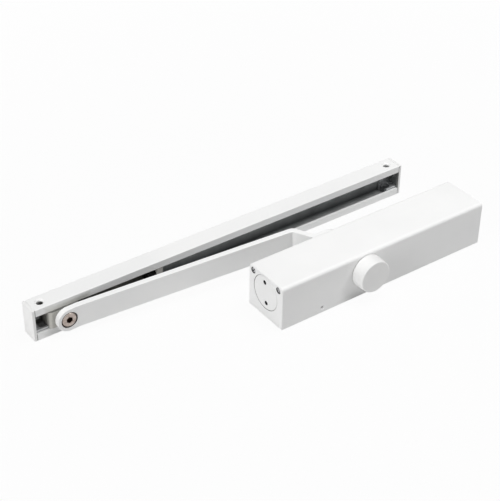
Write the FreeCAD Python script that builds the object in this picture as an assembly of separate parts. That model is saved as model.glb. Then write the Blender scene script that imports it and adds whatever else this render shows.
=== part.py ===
import FreeCAD, Part
import math
import os

from FreeCAD import Vector

# Slide rail door closer, in millimetres.
# X runs along the body and the rail, Y from the shaft cap towards the rail, Z away from the door face.
# The origin lies on the door face under the middle of the closer body.

# Closer body
body_length = 250.0
body_depth = 52.0
body_height = 47.5
body_edge_radius = 3.5
body_foot_radius = 0.8
body_end_chamfer = 0.6
mouth_chamfer = 0.4
edge_break = 0.4
spindle_from_left = 100.0
bore_height = 28.0
bore_radius = 16.5

# End plugs of the body
plug_radius = 18.0
plug_length = 15.0
plug_chamfer = 0.5
plug_clearance = 0.1
spanner_hole_radius = 2.3
spanner_hole_depth = 5.0
spanner_hole_spacing = 22.5
spanner_turn = math.radians(7.0)
plug_seal_wire_radius = 0.95
plug_seal_groove_width = 2.4
plug_seal_from_inner_end = 4.5
seal_clearance = 0.05

# Speed valves in the left end
valve_from_side = 6.5
valve_from_top = 5.0
valve_radius = 2.92
valve_hole_radius = 3.0
valve_length = 15.0
valve_recess = 0.8
valve_head_chamfer = 0.3
valve_slot_width = 1.0
valve_slot_depth = 1.3
closing_slot_turn = math.radians(-30.0)
latching_slot_turn = math.radians(37.0)
needle_radius = 1.4
needle_hole_radius = 1.7
needle_length = 7.0
needle_tip_length = 3.0
needle_tip_radius = 0.3
needle_hole_extra = 3.0
port_radius = 1.2
port_overrun = 4.0
valve_seal_wire_radius = 0.6
valve_seal_groove_width = 1.5
valve_seal_from_head = 8.0

# Mounting plate and its locking screws
plate_length = 224.0
plate_width = 38.0
plate_thickness = 3.0
plate_corner_radius = 4.0
plate_clearance = 0.3
plate_hole_radius = 2.75
plate_hole_from_end = 7.0
plate_hole_from_side = 9.5
screw_head_pocket_radius = 5.6
screw_head_pocket_height = 4.0
lug_length = 10.0
lug_width = 32.0
lug_height = 5.6
lug_from_plate_end = 35.0
lock_screw_height = 6.0
lock_screw_radius = 2.0
lock_screw_clearance = 0.1
lock_screw_recess = 0.6
lock_screw_socket = 2.5
lock_screw_socket_depth = 2.5

# Pinion and rack, with tooth heights in modules
gear_module = 2.0
tooth_count = 9
pressure_angle = math.radians(20.0)
profile_shift = 0.45
tooth_backlash = 0.2
pinion_addendum = 1.15
pinion_dedendum = 0.8
rack_addendum = 0.9
rack_dedendum = 1.1
pinion_end_gap = 3.0
flank_points = 6
tooth_room = 1.0
opening_angle = math.radians(150.0)

# Spindle, bearings, seals and nuts
journal_radius = 8.0
journal_clearance = 0.04
shaft_square = 11.0
square_clearance = 0.05
bearing_radius = 12.45
bearing_seat_clearance = 0.05
bearing_width = 6.0
shaft_seal_width = 2.2
nut_radius = 14.0
nut_width = 4.8
nut_proud = 3.0
nut_clearance = 0.05
nut_shaft_clearance = 0.3
nut_notch_width = 3.0
nut_notch_depth = 1.6
nut_notch_length = 2.4
nut_notch_count = 4

# Piston and check valve
piston_clearance = 0.03
piston_end_gap = 0.3
piston_right_head = 14.0
piston_left_web = 16.0
piston_cup_radius = 12.5
check_port_radius = 1.8
check_seat_radius = 4.0
check_seat_depth = 8.5
check_ball_radius = 2.8
check_retainer_width = 2.5
check_retainer_clearance = 0.02
check_ball_gap = 0.3

# Closing spring, its seat and the power adjuster
spring_wire_radius = 2.6
spring_mean_radius = 13.0
spring_coils = 9
seat_radius = 16.2
seat_width = 8.0
seat_spigot_radius = 9.5
seat_spigot_length = 4.0
seat_from_plug = 6.0
adjuster_travel = 10.0
adjuster_radius = 5.0
adjuster_thread_clearance = 0.05
adjuster_neck_radius = 6.0
adjuster_neck_clearance = 0.05
adjuster_collar_radius = 9.0
adjuster_collar_width = 4.0
adjuster_recess = 0.8
adjuster_socket = 6.0
adjuster_socket_depth = 6.0
adjuster_end_margin = 6.0
slide_gap = 0.3

# Shaft cap
cap_rim_radius = 17.4
cap_face_radius = 16.8
cap_length = 14.5
cap_face_thickness = 2.2
cap_edge_radius = 1.2
cap_rim_chamfer = 0.5

# Rail
rail_length = 440.0
rail_depth = 19.5
rail_height = 35.0
rail_wall = 2.5
rail_slot = 20.0
rail_edge_radius = 0.8
rail_end_chamfer = 0.3
rail_end_from_spindle = 295.0
rail_from_body = 64.5
end_cap_thickness = 3.0
end_cap_tongue_length = 5.0
end_cap_tongue_height = 10.0
end_cap_edge_radius = 0.8
rail_fit = 0.2
rail_hole_inset = 13.0
access_hole_radius = 3.3
access_sink_depth = 1.5
rail_hole_radius = 2.75

# Rail brackets
bracket_length = 13.2
bracket_height = 7.0
bracket_upstand_height = 13.5
bracket_upstand_thickness = 2.5
bracket_sink_radius = 5.2
bracket_sink_depth = 2.5

# Slider and its pivot
slider_length = 31.0
slider_neck_clearance = 0.3
slider_body_clearance = 0.4
slider_proud = 0.7
slider_corner_radius = 3.0
pivot_recess_radius = 8.6
pivot_recess_depth = 4.2
pivot_head_radius = 7.3
pivot_head_height = 2.6
pivot_head_recess = 0.3
pivot_head_edge = 0.5
pivot_socket = 6.0
pivot_socket_depth = 2.2
pivot_shank_radius = 4.0
pivot_shank_depth = 11.0
pivot_shank_clearance = 0.05
bush_radius = 6.0
bush_flange_radius = 8.2
bush_clearance = 0.08
bush_end_play = 0.1
spacer_radius = 9.0

# Arm
arm_width = 24.0
arm_thickness = 6.0
arm_from_rail = 10.0
arm_pad_end = 10.0
arm_run_offset = 27.1
arm_crank_length = 11.6
arm_hub_length = 16.4
arm_edge_radius = 0.6
arm_hub_gap = 1.5
arm_bend_inside = 2.0
hub_screw_gap = 0.3
hub_washer_radius = 8.6
hub_washer_thickness = 1.5
hub_screw_radius = 2.95
hub_screw_hole_radius = 3.0
hub_screw_length = 14.0
hub_screw_head_radius = 5.0
hub_screw_head_height = 6.0
hub_screw_socket = 5.0
hub_screw_socket_depth = 3.0

# Opening stop in the rail
stop_left = 133.0
stop_length = 6.5
buffer_length = 9.5
buffer_radius = 7.0
buffer_tip_radius = 4.0
buffer_behind_lip = 4.6
stop_screw_radius = 2.0
stop_screw_clearance = 0.05
stop_screw_socket = 2.0
stop_screw_socket_depth = 2.5

# Positions that follow from the sizes
body_left = -body_length / 2
body_right = body_length / 2
body_side = body_depth / 2
spindle_x = body_left + spindle_from_left
left_plug_face = body_left + plug_length
right_plug_face = body_right - plug_length
valve_y = body_side - valve_from_side
valve_z = body_height - valve_from_top
plate_hole_spacing_x = plate_length - 2 * plate_hole_from_end
plate_hole_spacing_y = plate_width - 2 * plate_hole_from_side
lug_offset = plate_length / 2 - lug_from_plate_end

pitch_radius = gear_module * tooth_count / 2
base_radius = pitch_radius * math.cos(pressure_angle)
pinion_tip_radius = pitch_radius + pinion_addendum * gear_module
pinion_root_radius = pitch_radius - pinion_dedendum * gear_module
rack_pitch = math.pi * gear_module
rack_line = pitch_radius + profile_shift * gear_module
rack_tip = rack_addendum * gear_module
rack_root = rack_dedendum * gear_module
piston_stroke = pitch_radius * opening_angle
rack_spaces_left = math.ceil((piston_stroke + pinion_tip_radius) / rack_pitch)
rack_spaces_right = math.ceil(pinion_tip_radius / rack_pitch)
spindle_hole_radius = pinion_tip_radius + slide_gap

nut_outer_face = body_side + nut_proud
seal_outer_face = nut_outer_face - nut_width
bearing_outer_face = seal_outer_face - shaft_seal_width
bearing_inner_face = bearing_outer_face - bearing_width
pinion_half_width = bearing_inner_face - pinion_end_gap
bearing_bore_radius = bearing_radius + bearing_seat_clearance

slot_left = spindle_x - rack_spaces_left * rack_pitch - tooth_room
slot_right = spindle_x + rack_spaces_right * rack_pitch + tooth_room
piston_left = left_plug_face + piston_end_gap
piston_right = slot_right + piston_right_head
piston_radius = bore_radius - piston_clearance
web_left = slot_left - piston_left_web

seat_right = right_plug_face - seat_from_plug
seat_left = seat_right - seat_width

rail_left = spindle_x - rail_end_from_spindle
rail_right = rail_left + rail_length
rail_front = body_side + rail_from_body
rail_back = rail_front + rail_depth
rail_middle = rail_height / 2
cavity_front = rail_front + rail_wall
cavity_back = rail_back - rail_wall
cavity_top = rail_height - rail_wall
slot_bottom = rail_middle - rail_slot / 2
slot_top = rail_middle + rail_slot / 2
fixing_y = (rail_front + rail_back) / 2

bracket_inner_end = end_cap_thickness + rail_fit + bracket_length
slider_left = rail_left + bracket_inner_end + slide_gap
slider_right = slider_left + slider_length
pivot_x = (slider_left + slider_right) / 2
pivot_z = rail_middle
slider_front = rail_front - slider_proud

arm_angle = math.atan2(bore_height - pivot_z, spindle_x - pivot_x)
arm_length = math.hypot(bore_height - pivot_z, spindle_x - pivot_x)
arm_crank_end = arm_length - arm_hub_length
arm_run_end = arm_crank_end - arm_crank_length
pad_front = rail_front - arm_from_rail
pad_back = pad_front + arm_thickness
hub_front = nut_outer_face + arm_hub_gap
hub_back = hub_front + arm_thickness
recess_floor = pad_front + pivot_recess_depth
bush_flange_front = pad_front + pivot_head_recess + pivot_head_height
bush_flange_back = recess_floor - bush_end_play


# Directions, and how closely two places or directions agree
ORIGIN = Vector(0, 0, 0)
X = Vector(1, 0, 0)
Y = Vector(0, 1, 0)
Z = Vector(0, 0, 1)
same_place = 1e-4
same_direction = 1e-6


# Building blocks

def block(x0, x1, y0, y1, z0, z1):
    return Part.makeBox(x1 - x0, y1 - y0, z1 - z0, Vector(x0, y0, z0))


def rod_x(radius, x0, x1, y, z):
    return Part.makeCylinder(radius, x1 - x0, Vector(x0, y, z), X)


def rod_y(radius, y0, y1, x, z):
    return Part.makeCylinder(radius, y1 - y0, Vector(x, y0, z), Y)


def rod_z(radius, z0, z1, x, y):
    return Part.makeCylinder(radius, z1 - z0, Vector(x, y, z0), Z)


def ring_y(outer, inner, y0, y1, x, z):
    return rod_y(outer, y0, y1, x, z).cut(rod_y(inner, y0, y1, x, z))


def prism(points, sweep):
    return Part.Face(Part.makePolygon(points + points[:1])).extrude(sweep)


def prism_y(points, y0, y1):
    return prism([Vector(x, y0, z) for x, z in points], Vector(0, y1 - y0, 0))


def polygon(sides, across_flats, turn=0.0):
    radius = across_flats / 2 / math.cos(math.pi / sides)
    angles = [turn + (i + 0.5) * math.tau / sides for i in range(sides)]
    return [(radius * math.cos(a), radius * math.sin(a)) for a in angles]


def socket_x(across_flats, x0, x1, y, z):
    points = [Vector(x0, y + a, z + b) for a, b in polygon(6, across_flats)]
    return prism(points, Vector(x1 - x0, 0, 0))


def socket_y(across_flats, y0, y1, x, z):
    points = [(x + a, z + b) for a, b in polygon(6, across_flats)]
    return prism_y(points, y0, y1)


def seal_x(ring_radius, wire_radius, x, y, z):
    return Part.makeTorus(ring_radius, wire_radius, Vector(x, y, z), X)


def edges_along(shape, axis, test):
    straight = [e for e in shape.Edges if isinstance(e.Curve, Part.Line)]
    along = [e for e in straight if abs(e.Curve.Direction.dot(axis)) > 1 - same_direction]
    return [e for e in along if test(e.CenterOfMass)]


def near(a, b):
    return abs(a - b) < same_place


def mirrored(shape, normal):
    return shape.mirror(ORIGIN, normal)


def mouth(radius, depth, place, inward):
    return Part.makeCone(radius + depth, radius, depth, place, inward)


# Closer body

def housing_block():
    shape = block(body_left, body_right, -body_side, body_side, 0, body_height)
    top = edges_along(shape, X, lambda c: near(c.z, body_height))
    shape = shape.makeFillet(body_edge_radius, top)
    foot = edges_along(shape, X, lambda c: near(c.z, 0))
    shape = shape.makeFillet(body_foot_radius, foot)
    ends = [e for e in shape.Edges if near(e.BoundBox.XLength, 0)]
    return shape.makeChamfer(body_end_chamfer, ends)


def housing_bores():
    bore = rod_x(bore_radius, body_left, body_right, 0, bore_height)
    left_seat = rod_x(plug_radius, body_left, left_plug_face, 0, bore_height)
    right_seat = rod_x(plug_radius, right_plug_face, body_right, 0, bore_height)
    left_mouth = mouth(plug_radius, mouth_chamfer, Vector(body_left, 0, bore_height), X)
    cuts = [bore, left_seat, right_seat, left_mouth, mirrored(left_mouth, X)]
    cuts.append(rod_y(spindle_hole_radius, -body_side, body_side, spindle_x, bore_height))
    for low, high in ((-body_side, -bearing_inner_face), (bearing_inner_face, body_side)):
        cuts.append(rod_y(bearing_bore_radius, low, high, spindle_x, bore_height))
    for low, high in ((-body_side, -seal_outer_face), (seal_outer_face, body_side)):
        cuts.append(rod_y(nut_radius + nut_clearance, low, high, spindle_x, bore_height))
    return cuts


def valve_bores(y):
    shoulder = body_left + valve_recess + valve_length
    needle_end = shoulder + needle_length + needle_hole_extra
    port_x = shoulder + needle_length
    towards_bore = Vector(0, -y, bore_height - valve_z)
    port_length = towards_bore.Length - bore_radius + port_overrun
    return [
        rod_x(valve_hole_radius, body_left, shoulder, y, valve_z),
        mouth(valve_hole_radius, mouth_chamfer, Vector(body_left, y, valve_z), X),
        rod_x(needle_hole_radius, shoulder, needle_end, y, valve_z),
        Part.makeCylinder(port_radius, port_length, Vector(port_x, y, valve_z), towards_bore),
    ]


def plate_outline(length, width, z0, z1):
    shape = block(-length / 2, length / 2, -width / 2, width / 2, z0, z1)
    corners = edges_along(shape, Z, lambda c: True)
    return shape.makeFillet(plate_corner_radius, corners)


def plate_hole_places():
    half_x = plate_hole_spacing_x / 2
    half_y = plate_hole_spacing_y / 2
    return [(x, y) for x in (-half_x, half_x) for y in (-half_y, half_y)]


def lug(x, grow):
    half_length = lug_length / 2 + grow
    half_width = lug_width / 2 + grow
    top = plate_thickness + lug_height + grow
    return block(x - half_length, x + half_length, -half_width, half_width, 0, top)


def plate_pockets():
    grow = 2 * plate_clearance
    cuts = [plate_outline(plate_length + grow, plate_width + grow, 0, plate_thickness)]
    top = plate_thickness + screw_head_pocket_height
    cuts += [rod_z(screw_head_pocket_radius, 0, top, x, y) for x, y in plate_hole_places()]
    cuts += [lug(x, plate_clearance) for x in (-lug_offset, lug_offset)]
    hole = lock_screw_radius + lock_screw_clearance
    cuts.append(rod_y(hole, -body_side, body_side, -lug_offset, lock_screw_height))
    front_mouth = mouth(hole, mouth_chamfer, Vector(-lug_offset, -body_side, lock_screw_height), Y)
    return cuts + [front_mouth, mirrored(front_mouth, Y)]


def make_housing():
    cuts = housing_bores() + valve_bores(-valve_y) + valve_bores(valve_y) + plate_pockets()
    return housing_block().cut(cuts)


def make_mounting_plate():
    shape = plate_outline(plate_length, plate_width, 0, plate_thickness)
    shape = shape.fuse([lug(x, 0) for x in (-lug_offset, lug_offset)])
    holes = [rod_z(plate_hole_radius, 0, plate_thickness, x, y) for x, y in plate_hole_places()]
    return shape.cut(holes).removeSplitter()


def make_locking_screws():
    outer = -body_side + lock_screw_recess
    shape = rod_y(lock_screw_radius, outer, -lug_width / 2, -lug_offset, lock_screw_height)
    inner = outer + lock_screw_socket_depth
    socket = socket_y(lock_screw_socket, outer, inner, -lug_offset, lock_screw_height)
    screw = shape.cut(socket)
    return Part.makeCompound([screw, mirrored(screw, Y)])


def plug_blank():
    radius = plug_radius - plug_clearance
    shape = rod_x(radius, body_left, left_plug_face, 0, bore_height)
    rim = [e for e in shape.Edges if near(e.CenterOfMass.x, body_left)]
    shape = shape.makeChamfer(plug_chamfer, rim)
    cuts = []
    for half in (-spanner_hole_spacing / 2, spanner_hole_spacing / 2):
        y = half * math.sin(spanner_turn)
        z = bore_height + half * math.cos(spanner_turn)
        cuts.append(rod_x(spanner_hole_radius, body_left, body_left + spanner_hole_depth, y, z))
    groove_right = left_plug_face - plug_seal_from_inner_end
    groove_left = groove_right - plug_seal_groove_width
    floor = plug_radius - seal_clearance - 2 * plug_seal_wire_radius - seal_clearance
    band = rod_x(plug_radius, groove_left, groove_right, 0, bore_height)
    cuts.append(band.cut(rod_x(floor, groove_left, groove_right, 0, bore_height)))
    return shape.cut(cuts)


def plug_seal():
    ring = plug_radius - seal_clearance - plug_seal_wire_radius
    x = left_plug_face - plug_seal_from_inner_end - plug_seal_groove_width / 2
    return seal_x(ring, plug_seal_wire_radius, x, 0, bore_height)


def make_spring_end_plug():
    radius = adjuster_neck_radius + adjuster_neck_clearance
    neck = rod_x(radius, right_plug_face, body_right, 0, bore_height)
    return mirrored(plug_blank(), X).cut(neck)


def make_valve(y, slot_turn):
    head = body_left + valve_recess
    shoulder = head + valve_length
    tip_start = shoulder + needle_length - needle_tip_length
    tip_place = Vector(tip_start, y, valve_z)
    tip = Part.makeCone(needle_radius, needle_tip_radius, needle_tip_length, tip_place, X)
    shape = rod_x(valve_radius, head, shoulder - slide_gap, y, valve_z)
    rim = [e for e in shape.Edges if near(e.BoundBox.XMax, head)]
    shape = shape.makeChamfer(valve_head_chamfer, rim)
    shape = shape.fuse([rod_x(needle_radius, shoulder - slide_gap, tip_start, y, valve_z), tip])
    half_slot = valve_slot_width / 2
    slot = block(head, head + valve_slot_depth, y - half_slot, y + half_slot,
                 valve_z - valve_radius, valve_z + valve_radius)
    slot.rotate(Vector(head, y, valve_z), X, math.degrees(slot_turn))
    groove_left = head + valve_seal_from_head
    groove_right = groove_left + valve_seal_groove_width
    floor = valve_hole_radius - 2 * seal_clearance - 2 * valve_seal_wire_radius
    band = rod_x(valve_hole_radius, groove_left, groove_right, y, valve_z)
    groove = band.cut(rod_x(floor, groove_left, groove_right, y, valve_z))
    return shape.cut([slot, groove]).removeSplitter()


def make_valve_seal(y):
    x = body_left + valve_recess + valve_seal_from_head + valve_seal_groove_width / 2
    ring = valve_hole_radius - seal_clearance - valve_seal_wire_radius
    return seal_x(ring, valve_seal_wire_radius, x, y, valve_z)


# Spindle with its bearings

def make_rear_bearing():
    inner = journal_radius + journal_clearance
    return ring_y(bearing_radius, inner, bearing_inner_face, bearing_outer_face, spindle_x, bore_height)


def make_rear_shaft_seal():
    inner = journal_radius + journal_clearance
    return ring_y(bearing_radius, inner, bearing_outer_face, seal_outer_face, spindle_x, bore_height)


def make_rear_nut():
    inner = journal_radius + nut_shaft_clearance
    shape = ring_y(nut_radius, inner, seal_outer_face, nut_outer_face, spindle_x, bore_height)
    shape = shape.makeChamfer(edge_break, [e for e in shape.Edges if near(e.BoundBox.YMin, nut_outer_face)])
    half = nut_notch_width / 2
    notch = block(spindle_x - half, spindle_x + half, nut_outer_face - nut_notch_length, nut_outer_face,
                  bore_height + nut_radius - nut_notch_depth, bore_height + nut_radius)
    notches = []
    for i in range(nut_notch_count):
        turned = notch.copy()
        turned.rotate(Vector(spindle_x, 0, bore_height), Y, i * 360 / nut_notch_count)
        notches.append(turned)
    return shape.cut(notches)


def involute(angle):
    return math.tan(angle) - angle


def flank_angle(radius):
    shifted = math.pi / 2 + 2 * profile_shift * math.tan(pressure_angle)
    thickness = gear_module * shifted - tooth_backlash
    here = math.acos(min(1.0, base_radius / radius))
    return thickness / 2 / pitch_radius + involute(pressure_angle) - involute(here)


def pinion_point(radius, angle):
    x = spindle_x + radius * math.sin(angle)
    z = bore_height - radius * math.cos(angle)
    return Vector(x, -pinion_half_width, z)


def pinion_flank(middle, side):
    step = (pinion_tip_radius - base_radius) / (flank_points - 1)
    radii = [base_radius + i * step for i in range(flank_points)]
    points = [pinion_point(r, middle + side * flank_angle(r)) for r in radii]
    curve = Part.BSplineCurve()
    curve.interpolate(points)
    root = pinion_point(pinion_root_radius, middle + side * flank_angle(base_radius))
    return [Part.makeLine(root, points[0]), curve.toShape()]


def pinion_arc(radius, start, end):
    points = [pinion_point(radius, a) for a in (start, (start + end) / 2, end)]
    return Part.Arc(*points).toShape()


def pinion_gear():
    step = math.tau / tooth_count
    root_half = flank_angle(base_radius)
    tip_half = flank_angle(pinion_tip_radius)
    edges = []
    for i in range(tooth_count):
        middle = i * step
        edges += pinion_flank(middle, -1)
        edges.append(pinion_arc(pinion_tip_radius, middle - tip_half, middle + tip_half))
        edges += pinion_flank(middle, 1)
        edges.append(pinion_arc(pinion_root_radius, middle + root_half, middle + step - root_half))
    wire = Part.Wire(Part.__sortEdges__(edges))
    return Part.Face(wire).extrude(Vector(0, 2 * pinion_half_width, 0))


def square_end(y0, y1, across_flats):
    points = [(spindle_x + a, bore_height + b) for a, b in polygon(4, across_flats, arm_angle)]
    return prism_y(points, y0, y1)


def make_spindle():
    arm_end = hub_back - hub_screw_gap
    ends = []
    for low, high in ((-nut_outer_face, -pinion_half_width), (pinion_half_width, nut_outer_face)):
        ends.append(rod_y(journal_radius, low, high, spindle_x, bore_height))
    for low, high in ((-arm_end, -nut_outer_face), (nut_outer_face, arm_end)):
        ends.append(square_end(low, high, shaft_square))
    shape = pinion_gear().fuse(ends)
    hole = rod_y(hub_screw_hole_radius, arm_end - hub_screw_length, arm_end, spindle_x, bore_height)
    return shape.cut(hole).removeSplitter()


# Piston with its rack and check valve

def rack_half_space(depth):
    thickness = rack_pitch / 2 + 2 * depth * math.tan(pressure_angle)
    return (rack_pitch - thickness) / 2


def rack_slot():
    top = bore_height + pinion_tip_radius + tooth_room
    tip_z = bore_height - rack_line + rack_tip
    root_z = bore_height - rack_line - rack_root
    at_tip = rack_half_space(-rack_tip)
    at_root = rack_half_space(rack_root)
    points = [(slot_left, top), (slot_left, root_z)]
    for k in range(-rack_spaces_left, rack_spaces_right):
        here = spindle_x + k * rack_pitch
        points += [(here + at_root, root_z), (here + at_tip, tip_z)]
        points += [(here + rack_pitch - at_tip, tip_z), (here + rack_pitch - at_root, root_z)]
    points += [(slot_right, root_z), (slot_right, top)]
    return prism_y(points, -bore_radius, bore_radius)


def make_piston():
    shape = rod_x(piston_radius, piston_left, piston_right, 0, bore_height)
    cup = rod_x(piston_cup_radius, piston_left, web_left, 0, bore_height)
    seat = rod_x(check_seat_radius, web_left, web_left + check_seat_depth, 0, bore_height)
    port = rod_x(check_port_radius, web_left, slot_left, 0, bore_height)
    return shape.cut([cup, rack_slot(), seat, port])


def make_check_ball():
    x = web_left + check_seat_depth - check_ball_radius - check_ball_gap
    return Part.makeSphere(check_ball_radius, Vector(x, 0, bore_height))


def make_check_retainer():
    radius = check_seat_radius - check_retainer_clearance
    shape = rod_x(radius, web_left, web_left + check_retainer_width, 0, bore_height)
    return shape.cut(rod_x(check_port_radius, web_left, web_left + check_retainer_width, 0, bore_height))


# Closing spring, seat and adjuster

def make_closing_spring():
    length = seat_left - piston_right
    pitch = length / spring_coils
    overrun = pitch
    helix = Part.makeHelix(pitch, length + 2 * overrun, spring_mean_radius)
    start = Part.Circle(Vector(spring_mean_radius, 0, 0), Y, spring_wire_radius)
    profile = Part.Wire(start.toShape())
    coil = Part.Wire(helix).makePipeShell([profile], True, True)
    coil.rotate(ORIGIN, Y, 90)
    coil.translate(Vector(piston_right - overrun, 0, bore_height))
    ground = rod_x(bore_radius, piston_right, seat_left, 0, bore_height)
    return coil.common(ground)


def make_spring_seat():
    shape = rod_x(seat_radius, seat_left, seat_right, 0, bore_height)
    spigot = rod_x(seat_spigot_radius, seat_left - seat_spigot_length, seat_left, 0, bore_height)
    radius = adjuster_radius + adjuster_thread_clearance
    hole = rod_x(radius, seat_left - seat_spigot_length, seat_right, 0, bore_height)
    return shape.fuse(spigot).cut(hole).removeSplitter()


def make_spring_adjuster():
    outer = body_right - adjuster_recess
    collar_left = right_plug_face - adjuster_collar_width
    inner = seat_left - seat_spigot_length - adjuster_travel - adjuster_end_margin
    parts = [
        rod_x(adjuster_collar_radius, collar_left, right_plug_face - slide_gap, 0, bore_height),
        rod_x(adjuster_radius, inner, collar_left, 0, bore_height),
    ]
    neck = rod_x(adjuster_neck_radius, right_plug_face - slide_gap, outer, 0, bore_height)
    neck = neck.makeChamfer(edge_break, [e for e in neck.Edges if near(e.BoundBox.XMin, outer)])
    socket = socket_x(adjuster_socket, outer - adjuster_socket_depth, outer, 0, bore_height)
    return neck.fuse(parts).cut(socket).removeSplitter()


def make_shaft_cap():
    rim = -body_side
    face = rim - cap_length
    middle = Vector(spindle_x, face, bore_height)
    shape = Part.makeCone(cap_face_radius, cap_rim_radius, cap_length, middle, Y)
    front = [e for e in shape.Edges if near(e.BoundBox.YMin, face) and near(e.BoundBox.YLength, 0)]
    shape = shape.makeFillet(cap_edge_radius, front)
    back = [e for e in shape.Edges if near(e.BoundBox.YMin, rim)]
    shape = shape.makeChamfer(cap_rim_chamfer, back)
    inner = nut_radius + nut_clearance
    return shape.cut(rod_y(inner, face + cap_face_thickness, rim, spindle_x, bore_height))


# Arm and its fixings

def arm_front_line():
    run_back = pad_front - arm_run_offset
    return [(-arm_width, pad_front), (arm_pad_end, pad_front), (arm_run_end, run_back),
            (arm_crank_end, hub_front), (arm_length + arm_width, hub_front)]


def offset_line(points, distance):
    lines = []
    for (u0, y0), (u1, y1) in zip(points, points[1:]):
        length = math.hypot(u1 - u0, y1 - y0)
        shift = ((y0 - y1) / length * distance, (u1 - u0) / length * distance)
        lines.append(((u0 + shift[0], y0 + shift[1]), (u1 - u0, y1 - y0)))
    moved = [lines[0][0]]
    for (p, d), (q, e) in zip(lines, lines[1:]):
        cross = d[0] * e[1] - d[1] * e[0]
        along = ((q[0] - p[0]) * e[1] - (q[1] - p[1]) * e[0]) / cross
        moved.append((p[0] + along * d[0], p[1] + along * d[1]))
    p, d = lines[-1]
    return moved + [(p[0] + d[0], p[1] + d[1])]


def bend_edges(shape, corners):
    return edges_along(shape, Z, lambda c: any(near(c.x, u) and near(c.y, y) for u, y in corners))


def arm_bar():
    front = arm_front_line()
    back = offset_line(front, arm_thickness)
    points = [Vector(u, y, -arm_width / 2) for u, y in front + back[::-1]]
    bar = prism(points, Vector(0, 0, arm_width))
    inside = [back[3], front[2]]
    outside = [back[2], front[3]]
    bar = bar.makeFillet(arm_bend_inside, bend_edges(bar, inside))
    return bar.makeFillet(arm_bend_inside + arm_thickness, bend_edges(bar, outside))


def arm_outline():
    radius = arm_width / 2
    low, high = hub_front - arm_width, pad_back + arm_width
    ends = [rod_y(radius, low, high, u, 0) for u in (0, arm_length)]
    return block(0, arm_length, low, high, -radius, radius).fuse(ends).removeSplitter()


def rounded_bar():
    bar = arm_bar().common(arm_outline())
    half = arm_width / 2
    rims = [e for e in bar.Edges if e.BoundBox.ZLength > half or near(abs(e.CenterOfMass.z), half)]
    rims = [e for e in rims if not isinstance(e.Curve, Part.Line) or near(e.BoundBox.ZLength, 0)]
    return bar.makeFillet(arm_edge_radius, rims)


def make_arm():
    bar = rounded_bar()
    square = [(arm_length + a, b) for a, b in polygon(4, shaft_square + 2 * square_clearance)]
    cuts = [
        rod_y(pivot_recess_radius, pad_front - arm_thickness, recess_floor, 0, 0),
        rod_y(bush_radius + bush_clearance, recess_floor, pad_back + arm_thickness, 0, 0),
        prism_y(square, hub_front - arm_thickness, hub_back + arm_thickness),
    ]
    arm = bar.cut(cuts)
    arm.rotate(ORIGIN, Y, -math.degrees(arm_angle))
    arm.translate(Vector(pivot_x, 0, pivot_z))
    return arm


def make_arm_washer():
    end = hub_back + hub_washer_thickness
    return ring_y(hub_washer_radius, hub_screw_hole_radius, hub_back, end, spindle_x, bore_height)


def make_arm_screw():
    seat = hub_back + hub_washer_thickness
    end = seat + hub_screw_head_height
    tip = hub_back - hub_screw_length
    head = rod_y(hub_screw_head_radius, seat, end, spindle_x, bore_height)
    head = head.makeChamfer(edge_break, [e for e in head.Edges if near(e.BoundBox.YMin, end)])
    shank = rod_y(hub_screw_radius, tip, seat, spindle_x, bore_height)
    socket = socket_y(hub_screw_socket, end - hub_screw_socket_depth, end, spindle_x, bore_height)
    return head.fuse(shank).cut(socket).removeSplitter()


# Slider and its pivot

def make_pivot_screw():
    front = pad_front + pivot_head_recess
    head = rod_y(pivot_head_radius, front, bush_flange_front, pivot_x, pivot_z)
    rim = [e for e in head.Edges if near(e.BoundBox.YMax, front)]
    head = head.makeChamfer(pivot_head_edge, rim)
    end = slider_front + pivot_shank_depth
    shank = rod_y(pivot_shank_radius, bush_flange_front, end, pivot_x, pivot_z)
    socket = socket_y(pivot_socket, front, front + pivot_socket_depth, pivot_x, pivot_z)
    return head.fuse(shank).cut(socket).removeSplitter()


def make_pivot_bush():
    inner = pivot_shank_radius + pivot_shank_clearance
    flange = rod_y(bush_flange_radius, bush_flange_front, bush_flange_back, pivot_x, pivot_z)
    sleeve = rod_y(bush_radius, bush_flange_back, slider_front, pivot_x, pivot_z)
    bore = rod_y(inner, bush_flange_front, slider_front, pivot_x, pivot_z)
    return flange.fuse(sleeve).cut(bore).removeSplitter()


def make_pivot_spacer():
    inner = bush_radius + pivot_shank_clearance
    return ring_y(spacer_radius, inner, pad_back + slide_gap, slider_front, pivot_x, pivot_z)


def rail_follower(x0, x1, front):
    body = block(x0, x1, cavity_front + slide_gap, cavity_back - slider_body_clearance,
                 rail_wall + slider_body_clearance, cavity_top - slider_body_clearance)
    neck = block(x0, x1, front, cavity_front + slide_gap,
                 slot_bottom + slider_neck_clearance, slot_top - slider_neck_clearance)
    return body.fuse(neck).removeSplitter()


def make_slider():
    shape = rail_follower(slider_left, slider_right, slider_front)
    slider_back = cavity_back - slider_body_clearance
    upright = edges_along(shape, Z, lambda c: near(c.y, slider_front) or near(c.y, slider_back))
    shape = shape.makeFillet(slider_corner_radius, upright)
    radius = pivot_shank_radius + pivot_shank_clearance
    return shape.cut(rod_y(radius, slider_front, slider_front + pivot_shank_depth, pivot_x, pivot_z))


# Rail

def fixing_places():
    return [rail_left + rail_hole_inset, rail_right - rail_hole_inset]


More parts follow.
